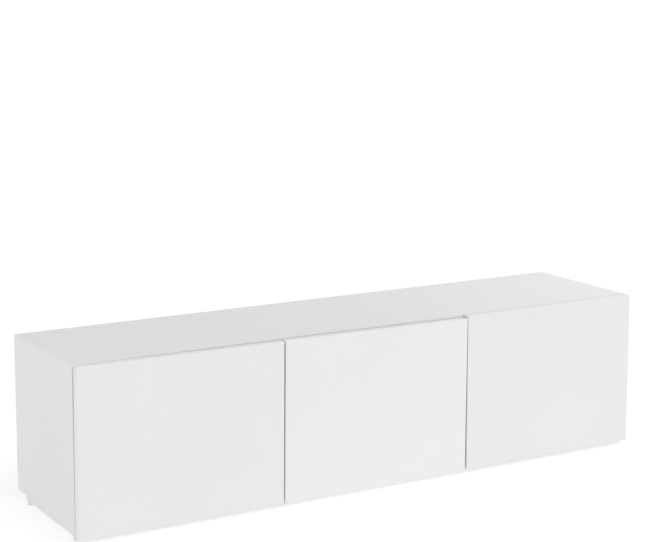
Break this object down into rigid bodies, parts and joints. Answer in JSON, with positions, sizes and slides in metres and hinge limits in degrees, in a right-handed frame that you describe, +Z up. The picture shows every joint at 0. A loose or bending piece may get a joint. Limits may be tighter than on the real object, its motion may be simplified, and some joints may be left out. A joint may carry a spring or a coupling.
{
  "type": "tv stand with doors",
  "caption": "Long low white TV lowboard with flat full-overlay push-to-open doors on cup hinges, adjustable shelves, cable outlets and a thin plinth.",
  "frame": {"origin": "middle of the footprint on the floor", "axes": "+X along the width, -Y towards the doors, +Z up"},
  "size_m": [1.8, 0.435, 0.466],
  "materials": {
    "door_lacquer": "smooth satin white lacquer",
    "white_board": "white lacquered board",
    "back_board": "thin white coated hardboard, raw rear",
    "nickel_steel": "nickel plated",
    "zinc_steel": "bright zinc plated",
    "cast_zinc": "die-cast zinc",
    "grey_plastic": "moulded",
    "white_plastic": "moulded",
    "clear_rubber": "soft clear pad",
    "beech": "fluted beech"
  },
  "bodies": {
    "carcass": {"top_panel": "white_board", "bottom_panel": "white_board", "side_panel_left": "white_board", "side_panel_right": "white_board", "divider_left": "white_board", "divider_right": "white_board", "hinge_plates_left": "nickel_steel", "hinge_plates_middle": "nickel_steel", "hinge_plates_right": "nickel_steel", "hinge_arms": "nickel_steel", "arm_pivots": "nickel_steel", "arm_screws": "nickel_steel", "plate_screws": "zinc_steel", "cam_locks": "cast_zinc", "cam_bolts": "zinc_steel", "dowels": "beech", "divider_screws": "zinc_steel", "plinth_side_left": "white_board", "plinth_side_right": "white_board", "plinth_front": "white_board", "plinth_rear": "white_board", "floor_glides": "white_plastic", "glide_nails": "zinc_steel", "plinth_screws": "zinc_steel", "shelf_left": "white_board", "shelf_middle": "white_board", "shelf_right": "white_board", "shelf_pins": "nickel_steel", "back_panel_left": "back_board", "back_panel_middle": "back_board", "back_panel_right": "back_board", "cable_grommets": "white_plastic", "back_nails": "zinc_steel", "latch_housings": "grey_plastic", "latch_screws": "zinc_steel"},
    "left_door": {"door_left": "door_lacquer", "hinge_cups_left": "nickel_steel", "cup_screws_left": "zinc_steel", "cup_pivots_left": "nickel_steel", "strike_plate_left": "nickel_steel", "door_bumpers_left": "clear_rubber"},
    "left_hinge_links": {"hinge_links_left": "nickel_steel"},
    "left_latch_plunger": {"latch_plunger_left": "white_plastic"},
    "middle_door": {"door_middle": "door_lacquer", "hinge_cups_middle": "nickel_steel", "cup_screws_middle": "zinc_steel", "cup_pivots_middle": "nickel_steel", "strike_plate_middle": "nickel_steel", "door_bumpers_middle": "clear_rubber"},
    "middle_hinge_links": {"hinge_links_middle": "nickel_steel"},
    "middle_latch_plunger": {"latch_plunger_middle": "white_plastic"},
    "right_door": {"door_right": "door_lacquer", "hinge_cups_right": "nickel_steel", "cup_screws_right": "zinc_steel", "cup_pivots_right": "nickel_steel", "strike_plate_right": "nickel_steel", "door_bumpers_right": "clear_rubber"},
    "right_hinge_links": {"hinge_links_right": "nickel_steel"},
    "right_latch_plunger": {"latch_plunger_right": "white_plastic"}
  },
  "joints": [
    {"name": "left_door_swing", "type": "hinge", "parent": "left_hinge_links", "child": "left_door", "pos_m": [-0.8892, -0.2047, 0.24], "axis": [0, 0, -1], "range_deg": [0, 113.4]},
    {"name": "left_link_swing", "type": "hinge", "parent": "carcass", "child": "left_hinge_links", "pos_m": [-0.8693, -0.1864, 0.24], "axis": [0, 0, -1], "range_deg": [-23.45, 0]},
    {"name": "left_latch_push", "type": "slide", "parent": "carcass", "child": "left_latch_plunger", "axis": [0, -1, 0], "range_m": [0, 0.0352]},
    {"name": "middle_door_swing", "type": "hinge", "parent": "middle_hinge_links", "child": "middle_door", "pos_m": [-0.2867, -0.2047, 0.24], "axis": [0, 0, -1], "range_deg": [0, 113.4]},
    {"name": "middle_link_swing", "type": "hinge", "parent": "carcass", "child": "middle_hinge_links", "pos_m": [-0.2668, -0.1864, 0.24], "axis": [0, 0, -1], "range_deg": [-23.45, 0]},
    {"name": "middle_latch_push", "type": "slide", "parent": "carcass", "child": "middle_latch_plunger", "axis": [0, -1, 0], "range_m": [0, 0.0352]},
    {"name": "right_door_swing", "type": "hinge", "parent": "right_hinge_links", "child": "right_door", "pos_m": [0.8892, -0.2047, 0.24], "axis": [0, 0, 1], "range_deg": [0, 113.4]},
    {"name": "right_link_swing", "type": "hinge", "parent": "carcass", "child": "right_hinge_links", "pos_m": [0.8693, -0.1864, 0.24], "axis": [0, 0, 1], "range_deg": [-23.45, 0]},
    {"name": "right_latch_push", "type": "slide", "parent": "carcass", "child": "right_latch_plunger", "axis": [0, -1, 0], "range_m": [0, 0.0352]}
  ],
  "couplings": [
    {"joint": "left_link_swing", "follows": "left_door_swing", "ratio": -0.20635},
    {"joint": "left_latch_push", "follows": "left_door_swing", "m_per_rad": 0.017684},
    {"joint": "middle_link_swing", "follows": "middle_door_swing", "ratio": -0.20635},
    {"joint": "middle_latch_push", "follows": "middle_door_swing", "m_per_rad": 0.017684},
    {"joint": "right_link_swing", "follows": "right_door_swing", "ratio": -0.20635},
    {"joint": "right_latch_push", "follows": "right_door_swing", "m_per_rad": 0.017684}
  ]
}
